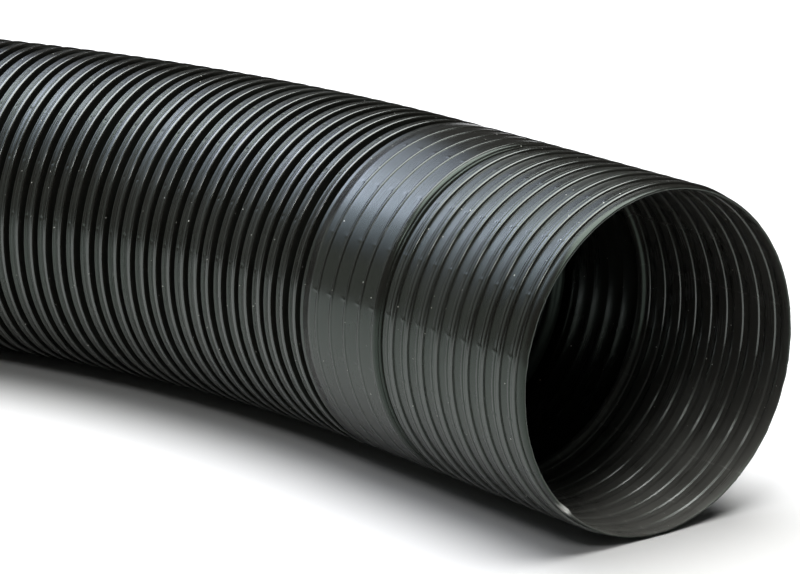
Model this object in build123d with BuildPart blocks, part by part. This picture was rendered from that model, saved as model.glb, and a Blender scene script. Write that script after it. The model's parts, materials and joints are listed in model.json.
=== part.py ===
from build123d import *
import math
import os

# Flexible air duct: one thin-walled corrugated plastic tube with a ribbed push-on cuff and a
# plain band at each end, and a bendable run of annular pleats between them.
# Frame: the origin is the centre of the mouth, +X points out of the mouth along the cuff's
# axis and +Z is up. The duct leaves the mouth towards -X and its pleated run curves towards
# -Y in the horizontal plane. Lengths are in millimetres, and "station" means the distance
# from the mouth's edge measured along the duct's centre line.

# Push-on cuff
spigot_diameter = 76.0      # the pipe stub that either end slides over
spigot_clearance = 0.25     # radial
wall = 0.55                 # wall thickness
rib_height = 0.6            # how far the cuff's ribs stand out of its wall
rib_width = 1.7             # along the axis, at the rib's top
rib_slope = 0.35            # axial run of each rib flank
rib_pitch = 5.2
rib_count = 9
first_rib = 4.0             # station of the first rib's middle
stop_depth = 1.6            # how far the stop groove is sunk below the cuff's wall
stop_width = 1.2            # along the axis, at the groove's bottom
stop_margin = 0.8           # cuff wall between the last rib and the stop groove
stop_slope = 0.5            # axial run of each groove flank

# Plain band between a cuff and the pleats
band_length = 28.2
line_height = 0.2           # raised ring lines on the band
line_width = 0.7
line_pitch = 5.1
line_count = 5

# Pleated run
pleat_count = 39
pleat_pitch = 5.06
pleat_width = 2.5           # along the axis, across one crest
pleat_depth = 3.2           # from the crest down to the foot of its side walls
pleat_chamfer = 0.4         # on the crest's shoulders
bend_radius = 355.0         # of the centre line, as the duct lies

# Derived sizes
bore_radius = spigot_diameter / 2 + spigot_clearance
cuff_radius = bore_radius + wall
outer_radius = cuff_radius + rib_height
foot_radius = outer_radius - pleat_depth
pleat_gap = pleat_pitch - pleat_width
last_rib_end = first_rib + (rib_count - 1) * rib_pitch + rib_width / 2 + rib_slope
stop_start = last_rib_end + stop_margin
cuff_length = stop_start + 2 * stop_slope + stop_width
pleats_start = cuff_length + band_length
pleats_length = pleat_gap + pleat_count * pleat_pitch
duct_length = pleats_start * 2 + pleats_length


def centre_line(station):
    """Point and heading of the centre line: straight, then one arc, then straight."""
    turned = min(max(station - pleats_start, 0), pleats_length)
    angle = turned / bend_radius
    straight = min(station, pleats_start)
    beyond = max(station - pleats_start - pleats_length, 0)
    x = -straight - bend_radius * math.sin(angle) - beyond * math.cos(angle)
    y = -bend_radius * (1 - math.cos(angle)) - beyond * math.sin(angle)
    return Vector(x, y, 0), Vector(-math.cos(angle), -math.sin(angle), 0)


def profile_plane(station, towards_mouth=False):
    """Plane through the centre line, local X along the duct and local Y straight up."""
    point, heading = centre_line(station)
    if towards_mouth:
        heading = -heading
    return Plane(origin=point, x_dir=heading, z_dir=heading.cross(Vector(0, 0, 1)))


def ring_of(plane, outline):
    """Turn a closed outline of (along, radius) points about the plane's local X axis."""
    with BuildPart() as ring:
        with BuildSketch(plane):
            with BuildLine():
                Polyline(*outline, close=True)
            make_face()
        revolve(axis=Axis(plane.origin, plane.x_dir))
    return ring


def step_outline(middles, half_width, slope, low, high):
    """Points of a line that runs at radius low and steps out to high at each middle."""
    points = []
    for middle in middles:
        points.append((middle - half_width - slope, low))
        points.append((middle - half_width, high))
        points.append((middle + half_width, high))
        points.append((middle + half_width + slope, low))
    return points


def cuff_outline():
    """Thin wall of the cuff: ribs stand out of it and the stop groove is sunk into it."""
    ribs = [first_rib + i * rib_pitch for i in range(rib_count)]
    stop = [stop_start + stop_slope + stop_width / 2]
    stop_radius = cuff_radius - stop_depth
    # seen from inside, the ribs' hollows are narrower and the groove's ridge is wider
    hollow = rib_width / 2 - wall / 2
    ridge = stop_width / 2 + wall / 2
    outer = [(0, cuff_radius)]
    outer += step_outline(ribs, rib_width / 2, rib_slope, cuff_radius, outer_radius)
    outer += step_outline(stop, stop_width / 2, stop_slope, cuff_radius, stop_radius)
    inner = [(0, bore_radius)]
    inner += step_outline(ribs, hollow, rib_slope, bore_radius, bore_radius + rib_height)
    inner += step_outline(stop, ridge, stop_slope, bore_radius, stop_radius - wall)
    # the inner edge meets the band a wall's thickness inside the bore
    inner[-2] = (cuff_length - stop_slope / 2, stop_radius - wall)
    inner[-1] = (cuff_length, bore_radius - wall)
    return outer + inner[::-1]


def band_outline():
    """Plain wall with raised ring lines; its last edge turns in to meet the pleats."""
    band_radius = outer_radius - line_height
    margin = (band_length - (line_count - 1) * line_pitch) / 2
    lines = [margin + i * line_pitch for i in range(line_count)]
    half = line_width / 2
    outer = [(0, cuff_radius), (0, band_radius)]
    outer += step_outline(lines, half - line_height, line_height, band_radius, outer_radius)
    outer += [
        (band_length - pleat_chamfer, band_radius),
        (band_length, band_radius - pleat_chamfer),
        (band_length, foot_radius),
    ]
    inner = [
        (0, bore_radius - wall),
        (wall, bore_radius - wall),
        (wall, band_radius - wall),
        (band_length - wall, band_radius - wall),
        (band_length - wall, foot_radius),
    ]
    return outer + inner[::-1]


def pleat_outline():
    """One crest of the corrugation: a thin channel, open towards the centre line."""
    half = pleat_width / 2
    inside = half - wall
    return [
        (-half, foot_radius),
        (-half, outer_radius - pleat_chamfer),
        (-half + pleat_chamfer, outer_radius),
        (half - pleat_chamfer, outer_radius),
        (half, outer_radius - pleat_chamfer),
        (half, foot_radius),
        (inside, foot_radius),
        (inside, outer_radius - wall),
        (-inside, outer_radius - wall),
        (-inside, foot_radius),
    ]


def write(piece, name):
    piece.part.label = name
    export_step(piece.part, f"parts/{name}.step")


os.makedirs("parts", exist_ok=True)

# Both ends are alike, and each is drawn from its own open edge inwards
for end, station, towards_mouth in (("mouth", 0, False), ("far", duct_length, True)):
    inwards = -1 if towards_mouth else 1
    cuff = ring_of(profile_plane(station, towards_mouth), cuff_outline())
    write(cuff, f"{end}_cuff")
    band_station = station + inwards * cuff_length
    band = ring_of(profile_plane(band_station, towards_mouth), band_outline())
    write(band, f"{end}_band")

# The pleats, numbered from the mouth
for number in range(1, pleat_count + 1):
    middle = pleats_start + number * pleat_pitch - pleat_width / 2
    pleat = ring_of(profile_plane(middle), pleat_outline())
    write(pleat, f"pleat_{number:02d}")

print(f"bore {2 * bore_radius:.2f}, outside {2 * outer_radius:.2f}, length {duct_length:.1f}")
print(f"cuff {cuff_length:.2f}, pleats from {pleats_start:.2f} for {pleats_length:.2f}")
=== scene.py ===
# %% [markdown]
# # A flexible air duct, one thin skin from mouth to far end
#
# The real duct is a single moulded tube of black plastic. A ribbed cuff at each end slides over
# a pipe stub, a plain band follows it, and the long middle is a run of ring-shaped pleats.
# This lesson builds that skin as surfaces worked out with numpy. The frame loaded here is the
# working model: it says where every ring sits and how it moves. The skin is drawn round it.

import json
import math

import bpy
import numpy as np
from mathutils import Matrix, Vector


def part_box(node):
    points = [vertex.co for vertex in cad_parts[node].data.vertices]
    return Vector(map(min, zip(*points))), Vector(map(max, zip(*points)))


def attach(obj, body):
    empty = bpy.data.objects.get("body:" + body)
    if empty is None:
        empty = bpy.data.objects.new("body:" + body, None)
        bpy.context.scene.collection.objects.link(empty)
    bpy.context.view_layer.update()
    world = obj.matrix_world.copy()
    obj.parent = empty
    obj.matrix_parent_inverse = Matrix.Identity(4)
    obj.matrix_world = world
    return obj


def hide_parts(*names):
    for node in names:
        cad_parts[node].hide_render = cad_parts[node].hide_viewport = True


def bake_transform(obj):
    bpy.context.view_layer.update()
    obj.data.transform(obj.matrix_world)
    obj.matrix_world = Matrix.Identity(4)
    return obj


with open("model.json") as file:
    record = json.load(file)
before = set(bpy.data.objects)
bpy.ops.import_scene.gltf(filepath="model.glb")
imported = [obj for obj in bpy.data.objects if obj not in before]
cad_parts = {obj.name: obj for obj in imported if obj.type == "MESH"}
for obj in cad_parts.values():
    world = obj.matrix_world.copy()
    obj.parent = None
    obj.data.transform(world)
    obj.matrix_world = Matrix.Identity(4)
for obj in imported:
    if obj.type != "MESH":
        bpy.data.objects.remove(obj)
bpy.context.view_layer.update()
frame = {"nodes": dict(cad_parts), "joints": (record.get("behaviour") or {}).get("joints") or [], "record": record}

# %% [markdown]
# The sizes come from the frame, so nothing here has to be fitted. The cuff and the band lie
# along X, so their boxes give lengths and the outside radius. The far end's mount gives the
# place and the direction of the other end, and from those two follows the one arc between.

# %% Sizes read from the frame, in metres
MM = 0.001
mounts = {mount["name"]: mount for mount in frame["record"]["mounts"]}
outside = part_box("mouth_cuff")[1].z
cuff_length = -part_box("mouth_cuff")[0].x
pleats_start = -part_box("mouth_band")[0].x
far_place = np.array(mounts["far_bore"]["pos_m"])
far_axis = np.array(mounts["far_bore"]["axis"])
turn = math.atan2(-far_axis[1], -far_axis[0])
arc_end = far_place - far_axis * pleats_start
bend_radius = -arc_end[1] / (1 - math.cos(turn))
pleats_length = bend_radius * turn
duct_length = 2 * pleats_start + pleats_length
bore = mounts["mouth_bore"]["dims"]["r_mm"] * MM
print(f"outside {outside:.4f}, bore {bore:.5f}, length {duct_length:.4f}, bend {bend_radius:.3f}")

# %% [markdown]
# Each gap between two rings holds one joint. They are evenly spaced, so the first one's place
# gives the spacing, and each ring's middle lies halfway between two gaps.

# %% Where the rings stand
joints = frame["joints"]
ring_count = sum(name.startswith("pleat_") for name in frame["nodes"])
past_band = -joints[0]["pos_m"][0] - pleats_start
first_gap = bend_radius * math.asin(past_band / bend_radius)
pitch = (pleats_length - 2 * first_gap) / ring_count
ring_middles = pleats_start + first_gap + pitch * (np.arange(ring_count) + 0.5)
print(f"{ring_count} rings, {pitch / MM:.2f} mm apart")

# %% [markdown]
# ## The centre line, and a point on the skin
#
# A station is a distance along the centre line from the mouth. Round the tube the angle starts
# level at the side that the bend leans to, and grows towards the top. Every point of the skin
# is then a station, an angle and a radius. Keeping those three apart makes each shape below a
# short formula.

# %% Station, angle and radius to a point in space
def centre_line(station):
    """Centre points and headings: straight along -X, then an arc of one radius, then straight."""
    turned = np.clip(station - pleats_start, 0, pleats_length)
    angle = turned / bend_radius
    straight = np.minimum(station, pleats_start)
    beyond = np.maximum(station - pleats_start - pleats_length, 0)
    x = -straight - bend_radius * np.sin(angle) - beyond * np.cos(angle)
    y = -bend_radius * (1 - np.cos(angle)) - beyond * np.sin(angle)
    flat = np.zeros_like(x)
    return np.stack([x, y, flat], -1), np.stack([-np.cos(angle), -np.sin(angle), flat], -1)


def skin_point(station, angle, radius):
    """Centre point plus radius times the outward direction at that angle."""
    centre, heading = centre_line(station)
    side = np.stack([-heading[..., 1], heading[..., 0], heading[..., 2]], -1)
    up = np.array([0.0, 0.0, 1.0])
    outward = np.cos(angle)[..., None] * side + np.sin(angle)[..., None] * up
    return centre + radius[..., None] * outward


print("far end", centre_line(np.array(duct_length))[0])

# %% [markdown]
# ## Columns round the tube
#
# The mould that shaped the tube was cut in eighteen strips, so the skin is very slightly
# flattened between eighteen rows, and each row carries a small vent mark on every crest. The
# columns of the grid are therefore crowded beside each row and spread out between them.

# %% Angles of the columns
ROWS = 18
first_row = math.radians(10.8)
row_step = 2 * math.pi / ROWS
beside_row = np.radians([0.0, 0.3, 0.65, 1.2, 2.6, 4.8, 7.4])
strip = np.concatenate([beside_row, [row_step / 2], row_step - beside_row[:0:-1]])
columns = (first_row + np.arange(ROWS)[:, None] * row_step + strip[None, :]).ravel()
print(len(columns), "columns")

# %% Small shapes used by every piece
STRIP_FLATNESS = 0.012
VENT_HALF_WIDTH = math.radians(0.42)
VENT_FAINTEST = 0.35
WAVES = 5


def ease(value):
    """0 below 0, 1 above 1, and a smooth S between: 3t squared minus 2t cubed."""
    t = np.clip(value, 0, 1)
    return t * t * (3 - 2 * t)


def plateau(value, low, high, flank):
    """1 between low and high, falling to 0 over one flank outside each of them."""
    return ease((value - low + flank) / flank) * ease((high + flank - value) / flank)


def shoulder(value, foot, width):
    """0 at the foot, then up a quarter round to 1: the root of 1 minus (1 - t) squared."""
    t = np.clip((value - foot) / width, 0, 1)
    return np.sqrt(1 - (1 - t) ** 2)


def falling(x, start, end, slope):
    """Drop that begins at start and steepens evenly until its slope at end: half k x squared."""
    past = np.clip(x - start, 0, end - start)
    return slope * past * past / (2 * (end - start))


def from_row(angle):
    """Angle from the nearest row of vent marks, positive and negative."""
    return (angle - first_row + row_step / 2) % row_step - row_step / 2


def strip_drop(angle):
    """How far a strip lies inside the round: a share of the gap between a chord and its arc."""
    across = np.abs(np.abs(from_row(angle)) - row_step / 2)
    return STRIP_FLATNESS * outside * (1 - math.cos(row_step / 2) / np.cos(across))


def wander(seed, angle, size):
    """A slow wave round the tube: a few sines of random phase, each weaker than the last."""
    dice = np.random.default_rng(seed)
    cycles = np.arange(1, WAVES + 1)
    phases = dice.uniform(0, 2 * math.pi, WAVES)
    weights = dice.normal(0, 1, WAVES) / cycles
    waves = np.sin(cycles[:, None] * angle[None, :] + phases[:, None])
    return size * (weights[:, None] * waves).sum(0)


def vent_marks(seed, angle):
    """A narrow bell on each row, of uneven height: 1 at a strong mark, 0 between rows."""
    dice = np.random.default_rng(seed)
    strength = dice.uniform(VENT_FAINTEST, 1.0, ROWS)
    row = np.round((angle - first_row) / row_step).astype(int) % ROWS
    return strength[row] * np.exp(-((from_row(angle) / VENT_HALF_WIDTH) ** 2))


print(f"strips are {strip_drop(first_row + row_step / 2) / MM:.2f} mm flatter than round")

# %% [markdown]
# ## From meridian to closed shell
#
# Each piece is a ring of skin. Its cut through the axis is a closed loop: along the outside,
# round the edge, back along the inside. Two arrays hold that loop for every column, one of
# stations and one of radii, so the whole mesh is two grids and no loop over points is needed.
# A closed loop turned all the way round is a closed shell, so the wall has real thickness.

# %% A ring of skin from its meridian
def ring_of_skin(name, station, radius, proud_vs_groove_shade=1.0, pale=0.0, polished=0.0, settled=0.0):
    """Mesh whose vertex grid is (place round the loop) by (column round the tube).

    station and radius have one row for each point of the loop and one column for each angle.
    Each face joins a point to the next one round the tube and the next one along the loop, in
    the order that makes it look outwards. The UV map is in metres: round the tube, and along
    the loop. The proud mark is 1 on proud skin, where dust specks reach, and 0 deep in a groove,
    where the colour is darkened as painted shade; pale is 1 where the plastic has whitened;
    polished is 1 along a shoulder that has been rubbed shiny; settled is 1 where dust lies on
    the floor of the bore.
    """
    rows, count = station.shape
    angle = np.broadcast_to(columns, station.shape)
    points = skin_point(station, angle, radius)
    index = np.arange(rows * count).reshape(rows, count)
    down = np.roll(index, -1, 0)
    faces = np.stack([index, np.roll(index, -1, 1), np.roll(down, -1, 1), down], -1)
    mesh = bpy.data.meshes.new(name)
    mesh.vertices.add(rows * count)
    mesh.vertices.foreach_set("co", points.astype(np.float32).ravel())
    mesh.loops.add(faces.size)
    mesh.loops.foreach_set("vertex_index", faces.astype(np.int32).ravel())
    mesh.polygons.add(rows * count)
    mesh.polygons.foreach_set("loop_start", np.arange(0, faces.size, 4, dtype=np.int32))
    mesh.polygons.foreach_set("use_smooth", np.ones(rows * count, bool))
    mesh.update(calc_edges=True)
    step = np.hypot(np.diff(station, axis=0, append=station[:1]),
                    np.diff(radius, axis=0, append=radius[:1])).mean(1)
    along = np.concatenate([[0], np.cumsum(step)])
    around = np.concatenate([columns, [columns[0] + 2 * math.pi]]) * outside
    u = np.stack([around[:-1], around[1:], around[1:], around[:-1]], -1)[None]
    v = np.stack([along[:-1], along[:-1], along[1:], along[1:]], -1)[:, None]
    uv = np.stack(np.broadcast_arrays(u, v + station[0].mean()), -1)
    layer = mesh.uv_layers.new(name="skin")
    layer.data.foreach_set("uv", uv.astype(np.float32).ravel())
    marks = {"proud_vs_groove_shade": proud_vs_groove_shade, "pale": pale, "polished": polished, "settled": settled}
    for label, amount in marks.items():
        marked = mesh.attributes.new(label, "FLOAT", "POINT")
        spread = np.broadcast_to(amount, station.shape).astype(np.float32)
        marked.data.foreach_set("value", spread.ravel())
    piece = bpy.data.objects.new(name, mesh)
    bpy.context.scene.collection.objects.link(piece)
    return piece


def loop_of(outer, inner):
    """Stack (station, radius) rows along the outside and then back along the inside."""
    rows = outer + inner[::-1]
    station = np.stack([np.broadcast_to(row[0], columns.shape) for row in rows])
    radius = np.stack([np.broadcast_to(row[1], columns.shape) for row in rows])
    return station, radius - strip_drop(columns)[None, :]


def mirrored(station, *others):
    """The same loop counted from the far end: stations turned round, and every row reversed."""
    return [(duct_length - station)[::-1], *[other[::-1] for other in others]]


print("a ring's loop is turned through", len(columns), "columns")

# %% [markdown]
# ## The cuffs
#
# A cuff is a thin sleeve with low ribs, then one narrow groove that stops the pipe stub. Each
# rib rises from a sharp foot on the side towards the edge and rounds over into its top. That
# round shoulder catches the light as a thin bright line. The top has a crease along it and
# falls away gently on the other side. The skin has one radius for each station here, so the
# meridian is a plain function, sampled closely at each shoulder. Both cuffs use it, counted
# from their own edge. The cut edge is not quite straight, and one curl of it has whitened.
# The inside is a little rubbed, from sliding over pipe stubs, and carries faint ticks at the
# vent rows. Handling has polished the shoulders, and dust lies on the floor of the bore.

# %% Cuff shape
RIB_PITCH = 5.2 * MM
RIB_COUNT = 9
FIRST_RIB = 4.0 * MM
WALL = 0.55 * MM
RIB_HEIGHT = outside - bore - WALL
RIB_FOOT = -1.25 * MM
RIB_ROUND = 0.6 * MM
RIB_FAR = 1.3 * MM
STOP_MIDDLE = 48.7 * MM
STOP_DEPTH = 0.95 * MM
INNER_RIB = 0.32 * MM
DIP = 0.045 * MM
RIB_CREASE = 0.05 * MM
CUFF_MARK = 0.2 * MM
RUBBED = 0.025
TICK = 0.16
EDGE_WAVE = 0.07 * MM
EDGE_ROUGH = 0.05 * MM
RIB_WAVE = 0.05 * MM
CURL_ANGLE = math.radians(-46)
CURL_WIDTH = math.radians(2.2)
CURL_DEPTH = 0.35 * MM
CURL_REACH = 0.9 * MM
ribs = FIRST_RIB + RIB_PITCH * np.arange(RIB_COUNT)


def cuff_radius(station, seed, inner=False):
    """Sleeve radius, plus a round-shouldered rib at each rib's place, minus the stop groove."""
    nearest = np.clip(np.round((station - FIRST_RIB) / RIB_PITCH), 0, RIB_COUNT - 1)
    x = station - FIRST_RIB - nearest * RIB_PITCH
    if inner:
        rib = plateau(x, RIB_FOOT + 0.6 * MM, RIB_FAR - 0.6 * MM, 0.35 * MM)
        stop = plateau(station, STOP_MIDDLE - 0.7 * MM, STOP_MIDDLE + 0.7 * MM, 0.4 * MM)
        return bore + INNER_RIB * rib - STOP_DEPTH * stop
    rib = shoulder(x, RIB_FOOT, RIB_ROUND) * ease((RIB_FAR - x) / (0.22 * MM))
    lean = falling(x, -0.1 * MM, RIB_FAR - 0.15 * MM, 0.3)
    dip = DIP * plateau(x, -0.4 * MM, 0.0 * MM, 0.2 * MM)
    crease = RIB_CREASE * np.exp(-(((x - 0.05 * MM) / (0.09 * MM)) ** 2))
    stop = plateau(station, STOP_MIDDLE - 0.25 * MM, STOP_MIDDLE + 0.25 * MM, 0.35 * MM)
    marks = vent_marks(seed, columns) * CUFF_MARK * plateau(x, 0.1 * MM, 1.3 * MM, 0.2 * MM)
    radius = bore + WALL + (RIB_HEIGHT - lean - crease - dip) * rib - STOP_DEPTH * stop
    return np.minimum(radius + marks * (station < STOP_MIDDLE - 1 * MM), outside)


def cuff_stations(steps, wide):
    """Stations to sample: the same offsets round every rib, then the groove's own."""
    near_ribs = (ribs[:, None] + np.array(steps)[None, :] * MM).ravel()
    groove = STOP_MIDDLE + np.array(wide) * MM
    picked = np.concatenate([near_ribs, groove])
    return np.unique(np.round(picked[(picked > 0.5 * MM) & (picked < cuff_length)], 7))


OUTER_STEPS = [-2.0, -1.6, -1.3, -1.25, -1.238, -1.2, -1.15, -1.07, -0.95, -0.8, -0.65,
               -0.45, -0.1, 0.0, 0.05, 0.1, 0.25, 0.6, 0.9, 1.06, 1.12, 1.19, 1.25, 1.32,
               1.8, 2.4]
INNER_STEPS = [-2.2, -0.9, -0.75, -0.6, -0.45, 0.1, 0.45, 0.58, 0.7, 0.82, 0.94, 1.1, 1.6]
GROOVE_STEPS = [-0.8, -0.6, -0.45, -0.3, -0.1, 0.1, 0.3, 0.45, 0.6, 0.8]
INNER_GROOVE_STEPS = [-1.15, -0.9, -0.7, -0.3, 0.3, 0.7, 0.9]


def cuff_finish(station, radius, inside, seed):
    """How pale, how polished and how dusty each point of a cuff is, before any curl."""
    from_rib = (station - FIRST_RIB + RIB_PITCH / 2) % RIB_PITCH - RIB_PITCH / 2
    ticks = vent_marks(seed + 7, columns) ** 3 * TICK * (np.abs(from_rib - RIB_FAR) < 1.9 * MM)
    on_rib = (station < STOP_MIDDLE - 1.5 * MM) & ~inside
    polished = on_rib * plateau(from_rib, RIB_FOOT + 0.05 * MM, RIB_FOOT + 0.4 * MM, 0.15 * MM)
    polished = polished + inside * plateau(from_rib, 0.5 * MM, 1.0 * MM, 0.12 * MM)
    low = -np.sin(columns)[None, :]
    settled = inside * np.clip((low - 0.05) / 0.7, 0, 1)
    settled = settled * np.clip((radius * low - 6 * MM) / (22 * MM), 0, 1)
    return inside * (RUBBED + ticks), polished, settled


def cuff(name, node, body, seed, far=False):
    """The cuff's loop, from the band's side along the outside to the edge and back inside."""
    edge = wander(seed, columns, EDGE_WAVE)
    edge += EDGE_ROUGH * np.random.default_rng(seed + 1).normal(0, 1, len(columns))
    from_curl = (columns - CURL_ANGLE - 2 * math.pi) / CURL_WIDTH
    curl = np.exp(-(from_curl ** 2)) * (not far)
    shift = wander(seed + 2, columns, RIB_WAVE)

    def row(station, inner):
        """One row of the loop, its ribs shifted a little round the tube."""
        moved = station + shift * plateau(station, 3 * MM, cuff_length - 4 * MM, 2 * MM)
        return moved, cuff_radius(np.full(columns.shape, station), seed + 3, inner)

    outer = [row(station, False) for station in cuff_stations(OUTER_STEPS, GROOVE_STEPS)]
    inner = [row(station, True) for station in cuff_stations(INNER_STEPS, INNER_GROOVE_STEPS)]
    sleeve = bore + WALL
    edge = edge - CURL_DEPTH * curl
    rim = [(edge + 0.03 * MM, sleeve - 0.12 * MM), (edge + 0.16 * MM, sleeve)]
    mouth = [(edge + 0.03 * MM, bore + 0.1 * MM), (edge + 0.14 * MM, bore - 0.3 * MM * curl)]
    outer = rim + outer + [(cuff_length, sleeve)]
    inner = mouth + inner + [(cuff_length, bore - 0.5 * WALL)]
    station, radius = loop_of(outer, inner)
    inside = (np.arange(len(station)) >= len(outer))[:, None]
    pale, polished, settled = cuff_finish(station, radius, inside, seed)
    pale = np.maximum(curl * ease((CURL_REACH - station) / (0.5 * MM)), pale)
    if far:
        marks = (pale, polished, settled)
        station, radius, pale, polished, settled = mirrored(station, radius, *marks)
    piece = ring_of_skin(name, station, radius, 1.0, pale, polished, settled)
    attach(piece, body)
    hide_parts(node)
    return piece


mouth_cuff = cuff("mouth_cuff_skin", "mouth_cuff", "mouth_end", 11)
far_cuff = cuff("far_cuff_skin", "far_cuff", "far_end", 23, far=True)
print("cuff faces", len(mouth_cuff.data.polygons))

# %% [markdown]
# ## The plain bands
#
# Behind the stop groove comes a plain stretch whose only relief is a fine raised line every
# pitch. It is the same kind of function. The band ends a little short of the first pleat gap,
# and the first fold of the pleated run takes over from there.

# %% Band shape
LINE_PITCH = 5.12 * MM
LINE_COUNT = 5
LINE_HEIGHT = 0.2 * MM
FIRST_LINE = cuff_length + 1.5 * MM
BAND_OVERLAP = 1.2 * MM
BAND_MARK = 0.14 * MM
LINE_POLISH = 0.45
LINE_OFFSETS = [-1.6, -0.45, -0.4, -0.39, -0.36, -0.31, -0.23, -0.12, 0.05, 0.2, 0.35, 0.5,
                0.65, 0.78, 1.1, 1.5, 2.4]
INNER_LINE_OFFSETS = [-0.6, -0.3, 0.0, 0.6]
band_end = pleats_start - BAND_OVERLAP
lines = FIRST_LINE + LINE_PITCH * np.arange(LINE_COUNT)


def band_radius(station, seed, inner=False):
    """Just inside the outside radius, with a narrow round line at each line's place."""
    nearest = np.clip(np.round((station - FIRST_LINE) / LINE_PITCH), 0, LINE_COUNT - 1)
    x = station - FIRST_LINE - nearest * LINE_PITCH
    line = shoulder(x, -0.4 * MM, 0.45 * MM) * ease((0.75 * MM - x) / (0.7 * MM))
    turned_in = ease(((cuff_length + 0.5 * MM) - station) / (0.5 * MM)) * 0.25 * MM
    radius = outside - LINE_HEIGHT + LINE_HEIGHT * line - turned_in
    if inner:
        return radius - WALL
    marks = vent_marks(seed, columns) * BAND_MARK
    return np.minimum(radius + marks * plateau(x, 0.1 * MM, 1.3 * MM, 0.25 * MM), outside)


def band(name, node, body, seed, far=False):
    """The band's loop: outside from the groove to the pleats, and back along the inside."""
    picked = (lines[:, None] + np.array(LINE_OFFSETS)[None, :] * MM).ravel()
    keep = (picked > cuff_length + 0.1 * MM) & (picked < band_end - 0.1 * MM)
    outer = [(station, band_radius(np.full(columns.shape, station), seed))
             for station in np.concatenate([[cuff_length], picked[keep], [band_end]])]
    few = (lines[:, None] + np.array(INNER_LINE_OFFSETS)[None, :] * MM).ravel()
    keep = (few > cuff_length + 1 * MM) & (few < band_end - 0.5 * MM)
    inner = [(station, band_radius(np.full(columns.shape, station), seed, inner=True))
             for station in np.concatenate([[cuff_length + WALL], few[keep], [band_end]])]
    foot = [(cuff_length, bore - 0.5 * WALL), (cuff_length + WALL, bore - 0.5 * WALL)]
    station, radius = loop_of(outer, foot + inner)
    from_line = (station - FIRST_LINE + LINE_PITCH / 2) % LINE_PITCH - LINE_PITCH / 2
    outside_rows = (np.arange(len(station)) < len(outer))[:, None]
    polished = LINE_POLISH * outside_rows * plateau(from_line, -0.36 * MM, 0.0, 0.12 * MM)
    if far:
        station, radius, polished = mirrored(station, radius, polished)
    piece = ring_of_skin(name, station, radius, polished=polished)
    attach(piece, body)
    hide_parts(node)
    return piece


mouth_band = band("mouth_band_skin", "mouth_band", "mouth_end", 31)
far_band = band("far_band_skin", "far_band", "far_end", 37, far=True)
print("band faces", len(mouth_band.data.polygons))

# %% [markdown]
# ## The pleats
#
# One fold of skin runs from the middle of one crest, down into the groove and up to the middle
# of the next crest. The groove's walls are almost upright, so radius is not a function of
# station here: each point of the loop has its own two numbers, worked out from the groove's
# edges. Cutting the skin at the crests puts every seam where nothing bends. On the real duct
# the groove between two rings does the bending, as a living hinge.
#
# No two crests are quite alike: their widths vary, and so do their edges round the tube.

# %% How wide each crest is
CREST_SHARE = 0.65
CREST_WAVE = 0.06 * MM
dice = np.random.default_rng(5)
crest_share = np.clip(dice.normal(CREST_SHARE, 0.05, ring_count), 0.53, 0.74)
crest_shift = np.clip(dice.normal(0, 0.03, ring_count), -0.06, 0.06)


def crest_edges(number):
    """Half-widths of a crest towards the mouth and away from it, round the tube."""
    wide = pitch * crest_share[number] / 2
    lean = pitch * crest_shift[number]
    near = wide - lean + wander(100 + number, columns, CREST_WAVE)
    far = wide + lean + wander(200 + number, columns, CREST_WAVE)
    return near, far


print("crests are", np.round(crest_share[:6], 2), "of the pitch")

# %% One fold of the pleated run
GROOVE_DEPTH = 3.1 * MM
SKIN = 0.5 * MM
NEAR_ROUND = 0.5 * MM
FAR_ROUND = 0.2 * MM
BEAD = 0.4 * MM
LEAN = math.tan(math.radians(10))
CREASE = 0.07 * MM
PROUD_DEPTH = 0.7 * MM
FOLD_MARK = 0.13 * MM
BLEND_INSET = 0.3 * MM
# Along the first crest's top: share of it, how much of the crease, how much of the vent mark.
TOP = ((0, 0, 0), (0.16, 0, 0), (0.25, 1, 0.3), (0.34, 0, 0.8), (0.62, 0, 1), (0.72, 0.8, 1),
       (0.82, 0, 1), (1, 0, 1))
# Across the bead: share of it, and how far below the leaning top in mm, so minus is above.
BEAD_RISE = ((0.4, -0.02), (0.7, -0.03), (1.0, 0.0))
# Across the groove: share of its width, and share of its depth.
GROOVE = ((0.04, 0.3), (0.09, 0.55), (0.17, 0.78), (0.28, 0.93), (0.42, 1.0), (0.58, 1.0),
          (0.72, 0.93), (0.83, 0.78), (0.91, 0.55), (0.96, 0.32))
# Along the next crest's top, back to its middle: share left of it, how much of the crease.
NEXT_TOP = ((1, 0), (0.86, 0), (0.72, 0), (0.46, 0), (0.37, 1), (0.28, 0), (0, 0))
POLISHED_FROM, POLISHED_ROWS = 2, 6


def quarter(size, count):
    """Along and down for a quarter round, from its top to its side."""
    turned = np.linspace(0, math.pi / 2, count + 1)[1:]
    return list(zip(size * np.sin(turned), size * (1 - np.cos(turned))))


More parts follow.
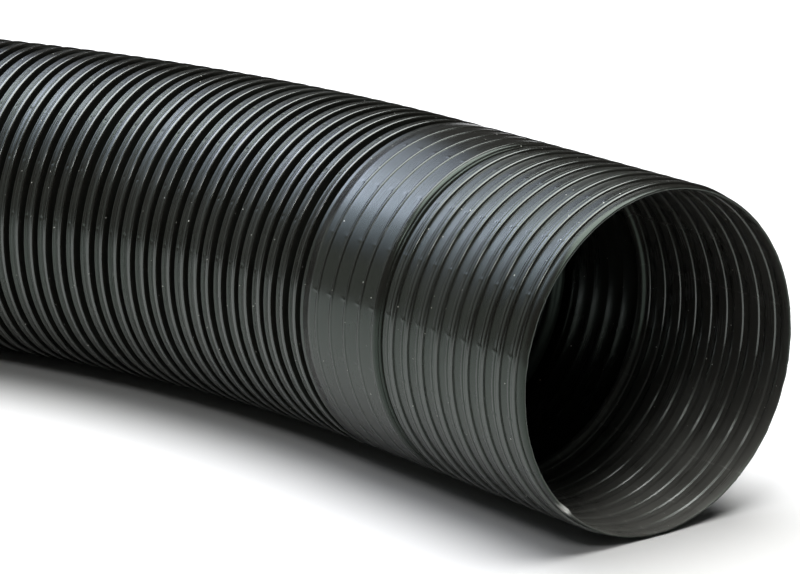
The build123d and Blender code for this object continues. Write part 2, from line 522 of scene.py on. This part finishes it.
def fold_outside(number, begin, end, left, right):
    """Rows of station and depth along a fold's outside, and the first of the polished rows.

    Down from the first crest: a top that leans away from the mouth, with two creases in it, a
    low bead, a small round and the groove's wall. Up to the next crest: wall, a wide round
    shoulder, then the leaning top again with one crease. A fold that starts or ends on a band
    has no lean, crease or mark there.
    """
    first, last = number == 0, number == ring_count
    lean_left, lean_right = LEAN * (not first), LEAN * (not last)
    mean_edge = pitch * CREST_SHARE / 2 - NEAR_ROUND
    top_left = LINE_HEIGHT if first else mean_edge * LEAN
    top_right = LINE_HEIGHT if last else 0.0
    marks = vent_marks(300 + number, columns) * FOLD_MARK * (not first)
    cut_left = CREASE * (1 + wander(400 + number, columns, 0.4)) * (not first)
    cut_right = CREASE * (1 + wander(500 + number, columns, 0.4)) * (not last)
    flat_left = left - BEAD - FAR_ROUND - begin
    flat_right = end - right - NEAR_ROUND
    rows = []
    for share, cut, mark in TOP:
        depth = top_left + share * flat_left * lean_left + cut * cut_left + mark * marks
        rows.append((begin + share * flat_left, depth))
    for share, drop in BEAD_RISE:
        rows.append((left - FAR_ROUND - BEAD * (1 - share),
                     top_left + flat_left * lean_left + drop * MM * (not first)))
    brink = rows[-1][1]
    for along, down in quarter(FAR_ROUND, 4):
        rows.append((left - FAR_ROUND + along, brink + down))
    for share, down in GROOVE:
        rows.append((left + share * (right - left), down * GROOVE_DEPTH))
    polished_row = len(rows) + POLISHED_FROM
    for along, down in quarter(NEAR_ROUND, 7)[::-1]:
        rows.append((right + NEAR_ROUND - along, top_right + down))
    for share, cut in NEXT_TOP:
        fallen = (1 - share) * mean_edge * lean_right
        rows.append((end - share * flat_right, top_right + fallen + cut * cut_right))
    return rows, polished_row


def fold_inside(number, begin, end, left, right):
    """Rows of station and depth along a fold's inside: a plain swell under the groove."""
    first, last = number == 0, number == ring_count
    mean_edge = pitch * CREST_SHARE / 2 - NEAR_ROUND
    top_left = LINE_HEIGHT if first else mean_edge * LEAN
    top_right = LINE_HEIGHT if last else 0.0
    under_left, under_right = left - SKIN - 0.2 * MM, right + SKIN + 0.2 * MM
    rows = [(begin, top_left + SKIN)]
    for share in np.linspace(0, 1, 13):
        swell = math.sqrt(max(math.sin(math.pi * share), 0))
        rows.append((under_left + share * (under_right - under_left),
                     (1 - share) * top_left + share * top_right + SKIN
                     + swell * (GROOVE_DEPTH - 0.15 * MM)))
    rows.append((end, top_right + mean_edge * LEAN * (not last) + SKIN))
    return rows


def fold(number):
    """Skin from crest number to the next one; 0 starts and ring_count ends on a band."""
    first, last = number == 0, number == ring_count
    begin = band_end if first else ring_middles[number - 1]
    end = duct_length - band_end if last else ring_middles[number]
    edge = np.full(columns.shape, BAND_OVERLAP)
    left = begin + (edge if first else crest_edges(number - 1)[1])
    right = end - (edge if last else crest_edges(number)[0])
    rows, polished_row = fold_outside(number, begin, end, left, right)
    back = fold_inside(number, begin, end, left, right)
    outer = [(station, outside - np.maximum(depth, 0)) for station, depth in rows]
    inner = [(station, outside - depth) for station, depth in back]
    station, radius = loop_of(outer, inner)
    # 1 on proud skin and 0 deep in a groove: it keeps dust specks off the groove floor, and the plastic paints
    #                                         shade there.
    proud_vs_groove_shade = ease((radius - outside + PROUD_DEPTH + 0.4 * MM) / PROUD_DEPTH)
    row = np.arange(len(station))[:, None] - polished_row
    polished = (row >= 0) & (row < POLISHED_ROWS)
    piece = ring_of_skin(f"fold_{number + 1:02d}", station, radius, proud_vs_groove_shade, 0.0, polished)
    start = centre_line(np.array(begin + BLEND_INSET))[0]
    stop = centre_line(np.array(end - BLEND_INSET))[0]
    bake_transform(piece)
    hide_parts(f"pleat_{min(number + 1, ring_count):02d}")
    return piece


folds = [fold(number) for number in range(ring_count + 1)]
print(len(folds), "folds,", len(folds[1].data.polygons), "faces each")

# %% [markdown]
# ## Shader maths as expressions
#
# A node tree is easier to read as a formula. This small class wraps a socket, so adding or
# multiplying two of them makes the Math node for it. Any other node comes from `node`, which
# sets the node's own settings first and then its inputs.

# %% A socket that can be added and multiplied
class Value:
    """A number that varies over the surface: an output socket and the tree it is in."""

    def __init__(self, tree, socket):
        self.tree, self.socket = tree, socket

    def math(self, operation, other, swapped=False):
        """A Math node of this value and another; swapped puts the other one first."""
        pair = (other, self) if swapped else (self, other)
        return node(self.tree, "ShaderNodeMath", {"operation": operation}, dict(enumerate(pair)))

    def __add__(self, other):
        return self.math("ADD", other)

    def __sub__(self, other):
        return self.math("SUBTRACT", other)

    def __rsub__(self, other):
        return self.math("SUBTRACT", other, swapped=True)

    def __mul__(self, other):
        return self.math("MULTIPLY", other)

    __radd__ = __add__
    __rmul__ = __mul__

    def output(self, which):
        """Another output of the same node."""
        return Value(self.tree, self.socket.node.outputs[which])


def node(tree, kind, settings=None, inputs=None, output=0):
    """Make one node: its settings first, then its inputs as values or links."""
    made = tree.nodes.new(kind)
    for name, value in (settings or {}).items():
        setattr(made, name, value)
    for name, value in (inputs or {}).items():
        if isinstance(value, Value):
            tree.links.new(value.socket, made.inputs[name])
        else:
            made.inputs[name].default_value = value
    return Value(tree, made.outputs[output])


print("expressions ready")

# %% [markdown]
# ## Black plastic off the mould
#
# The plastic is nearly black with a satin gloss. What shows is in its relief: fine drawn lines
# round the tube, a slight unevenness in the gloss, and a few pale specks of dust. The lines
# follow the skin, so they read its UV map, stretched a long way round the tube. The specks
# have no direction and read plain object coordinates. Where handling has polished a shoulder
# a clear coat lies over the plastic. What belongs to one place on a piece, such as that polish
# or the dust on the floor of the bore, is a mark stored in its mesh, so it moves with the piece.

# %% The duct's plastic
# Painted shade: the first colour is the darker tone given deep in the pleats' grooves.
GROOVE_SHADE = (0.0050, 0.0046, 0.0040, 1)
HANDLED = (0.0085, 0.0078, 0.0064, 1)
SCUFFED = (0.0170, 0.0168, 0.0150, 1)
DUST = (0.45, 0.45, 0.41, 1)
WHITENED = (0.62, 0.62, 0.58, 1)
SHEEN = (0.76, 1.0, 0.84, 1)
LINES_ROUND, LINES_ALONG = 30, 2600
SPECK_CELLS = 380.0
SPECK_SHARE = 0.8
POLISH = 0.9


def mix_colour(tree, factor, low, high):
    """low where factor is 0 and high where it is 1."""
    return node(tree, "ShaderNodeMix", {"data_type": "RGBA"}, {0: factor, 6: low, 7: high}, 2)


def mark(tree, name):
    """One of the marks that ring_of_skin stored, as a value over the surface."""
    return node(tree, "ShaderNodeAttribute", {"attribute_name": name}, output=2)


def noise(tree, vector, scale, detail, roughness, dimensions="3D"):
    """Noise texture over the given coordinates."""
    return node(tree, "ShaderNodeTexNoise", {"noise_dimensions": dimensions},
                {"Vector": vector, "Scale": scale, "Detail": detail, "Roughness": roughness})


def duct_plastic():
    """Lines in the bump, patches in the roughness; dust, handling and painted shade in the colour."""
    material = bpy.data.materials.new("duct_plastic")
    material.use_nodes = True
    tree = material.node_tree
    shader = tree.nodes["Principled BSDF"]
    uv = node(tree, "ShaderNodeUVMap", {"uv_map": "skin"})
    place = node(tree, "ShaderNodeTexCoord", output=3)
    proud_vs_groove_shade, pale = mark(tree, "proud_vs_groove_shade"), mark(tree, "pale")
    polished, settled = mark(tree, "polished"), mark(tree, "settled")
    drawn = node(tree, "ShaderNodeMapping", inputs={0: uv, 3: (LINES_ROUND, LINES_ALONG, 1)})
    lines = noise(tree, drawn, 1.0, 2.0, 0.6, "2D")
    grain = noise(tree, place, 1500.0, 2.0, 0.6)
    patches = noise(tree, place, 45.0, 3.0, 0.55)
    cells = node(tree, "ShaderNodeTexVoronoi", inputs={"Vector": place, "Scale": SPECK_CELLS})
    dice = node(tree, "ShaderNodeSeparateColor", inputs={0: cells.output(1)})
    size = dice.output(1) * 0.045 + 0.022
    speck = cells.math("LESS_THAN", size) * dice.math("LESS_THAN", SPECK_SHARE) * proud_vs_groove_shade
    smear = node(tree, "ShaderNodeMapRange", inputs={0: patches, 1: 0.42, 2: 0.72, 3: 0.0, 4: 1.0})
    worn = mix_colour(tree, smear * 0.55, HANDLED, SCUFFED)
    # Painted shade: deep in a groove, away from the proud skin, the colour darkens.
    colour = mix_colour(tree, proud_vs_groove_shade, GROOVE_SHADE, worn)
    colour = mix_colour(tree, settled * (smear * 0.1 + 0.11), colour, DUST)
    colour = mix_colour(tree, speck, colour, DUST)
    colour = mix_colour(tree, pale, colour, WHITENED)
    tree.links.new(colour.socket, shader.inputs["Base Color"])
    gloss = smear * 0.08 + lines * 0.06 + speck * 0.3 + (1 - proud_vs_groove_shade) * 0.12 + 0.22
    tree.links.new(gloss.socket, shader.inputs["Roughness"])
    height = lines * 0.6 + grain * 0.25 + speck * 2.0
    bump = node(tree, "ShaderNodeBump", inputs={"Strength": 0.22, "Distance": 0.00004,
                                                "Height": height})
    tree.links.new(bump.socket, shader.inputs["Normal"])
    tree.links.new((polished * POLISH).socket, shader.inputs["Coat Weight"])
    shader.inputs["Coat Roughness"].default_value = 0.16
    shader.inputs["Coat IOR"].default_value = 1.6
    shader.inputs["IOR"].default_value = 1.41
    shader.inputs["Specular Tint"].default_value = SHEEN
    return material


plastic = duct_plastic()
for piece in [mouth_cuff, mouth_band, far_cuff, far_band, *folds]:
    piece.data.materials.append(plastic)
print("plastic on", len(folds) + 4, "pieces")

# %% [markdown]
# ## Floor, light and camera
#
# Gloss on black only shows what it reflects, so the light is laid out as reflections. Three
# softboxes, each larger and dimmer than the one before, stand behind and above the bend. Their
# sum is one light with a bright middle and a soft edge, and it makes the broad sheen on the
# shoulder of the tube. A dim one below them lifts the dark stretch under the sheen. A small
# bright one in front draws the thin lines on the shoulders and reaches a little way into the
# mouth. A large overhead light keeps the floor pale, and the floor lights the underside.

# %% Floor
def plain(name, colour, roughness):
    """A material of one colour and one roughness."""
    material = bpy.data.materials.new(name)
    material.use_nodes = True
    shader = material.node_tree.nodes["Principled BSDF"]
    shader.inputs["Base Color"].default_value = colour
    shader.inputs["Roughness"].default_value = roughness
    return material


FLOOR_REACH = 4.0
PALE_FLOOR = (0.62, 0.62, 0.61, 1)
floor_mesh = bpy.data.meshes.new("floor")
corners = [(-FLOOR_REACH, -FLOOR_REACH), (FLOOR_REACH, -FLOOR_REACH),
           (FLOOR_REACH, FLOOR_REACH), (-FLOOR_REACH, FLOOR_REACH)]
floor_mesh.from_pydata([(x, y, -outside) for x, y in corners], [], [(0, 1, 2, 3)])
floor = bpy.data.objects.new("floor", floor_mesh)
bpy.context.scene.collection.objects.link(floor)
floor_mesh.materials.append(plain("pale_floor", PALE_FLOOR, 0.9))
print("floor at", -outside)

# %% Lights
middle = Vector(centre_line(np.array(duct_length / 2))[0])


def softbox(name, azimuth, elevation, distance, size, radiance, tint=(1, 1, 1)):
    """Area light facing the duct's middle, placed by compass angle, height angle and distance."""
    a, e = math.radians(azimuth), math.radians(elevation)
    towards = Vector((math.cos(a) * math.cos(e), math.sin(a) * math.cos(e), math.sin(e)))
    data = bpy.data.lights.new(name, "AREA")
    data.shape = "RECTANGLE"
    data.size, data.size_y = size
    data.energy = radiance * math.pi * size[0] * size[1]
    data.color = tint
    light = bpy.data.objects.new(name, data)
    light.location = middle + towards * distance
    light.rotation_euler = towards.to_track_quat("Z", "Y").to_euler()
    bpy.context.scene.collection.objects.link(light)
    return light


softbox("key", -170, 39, 1.3, (0.55, 0.2), 9.0, (0.76, 0.77, 1.0))
softbox("key_mid", -171, 39, 1.34, (1.1, 0.42), 2.6, (0.74, 0.79, 1.0))
softbox("key_wide", -172, 39, 1.38, (1.7, 0.72), 1.5, (0.72, 0.79, 1.0))
softbox("overhead", 150, 85, 2.1, (2.4, 2.4), 7.2)
softbox("low_fill", -150, 11, 1.6, (1.7, 0.5), 0.45, (0.94, 1.0, 0.93))
softbox("front", -52, 42, 1.8, (0.3, 0.3), 20.0)


def room():
    """Dark overhead, with a pale glow that rises a little way up from the horizon."""
    world = bpy.data.worlds.new("room")
    world.use_nodes = True
    tree = world.node_tree
    place = node(tree, "ShaderNodeTexCoord")
    height = node(tree, "ShaderNodeSeparateXYZ", inputs={0: place}, output=2)
    glow = node(tree, "ShaderNodeMapRange", {"interpolation_type": "SMOOTHSTEP"},
                {0: height, 1: -0.04, 2: 0.02, 3: 1.0, 4: 0.03})
    tree.links.new(glow.socket, tree.nodes["Background"].inputs[1])
    tree.nodes["Background"].inputs[0].default_value = (1.0, 1.0, 1.0, 1)
    return world


bpy.context.scene.world = room()

# %% [markdown]
# The camera is a long way off with a long lens, so the tube keeps its width. Its place is
# counted in outside radii from the middle of the mouth, along its own three directions.

# %% Camera
SENSOR = 36.0
LENS_PER_SENSOR = 4.5424
HEADING, LOWERED = math.radians(38.13), math.radians(15.18)
TO_THE_RIGHT, ABOVE, BACK = 1.4312, 0.4189, 19.881
camera_data = bpy.data.cameras.new("camera")
camera_data.sensor_width = SENSOR
camera_data.lens = LENS_PER_SENSOR * SENSOR
camera_data.clip_start, camera_data.clip_end = 0.05, 20
camera = bpy.data.objects.new("camera", camera_data)
ahead = Vector((-math.cos(HEADING), math.sin(HEADING), 0))
right = ahead.cross(Vector((0, 0, 1)))
look = math.cos(LOWERED) * ahead - math.sin(LOWERED) * Vector((0, 0, 1))
above = right.cross(look)
camera.location = -outside * (TO_THE_RIGHT * right - ABOVE * above + BACK * look)
camera.rotation_euler = (-look).to_track_quat("Z", "Y").to_euler()
bpy.context.scene.collection.objects.link(camera)
bpy.context.scene.camera = camera
bpy.context.scene.view_settings.view_transform = "Standard"
print("camera", [round(value, 3) for value in camera.location])
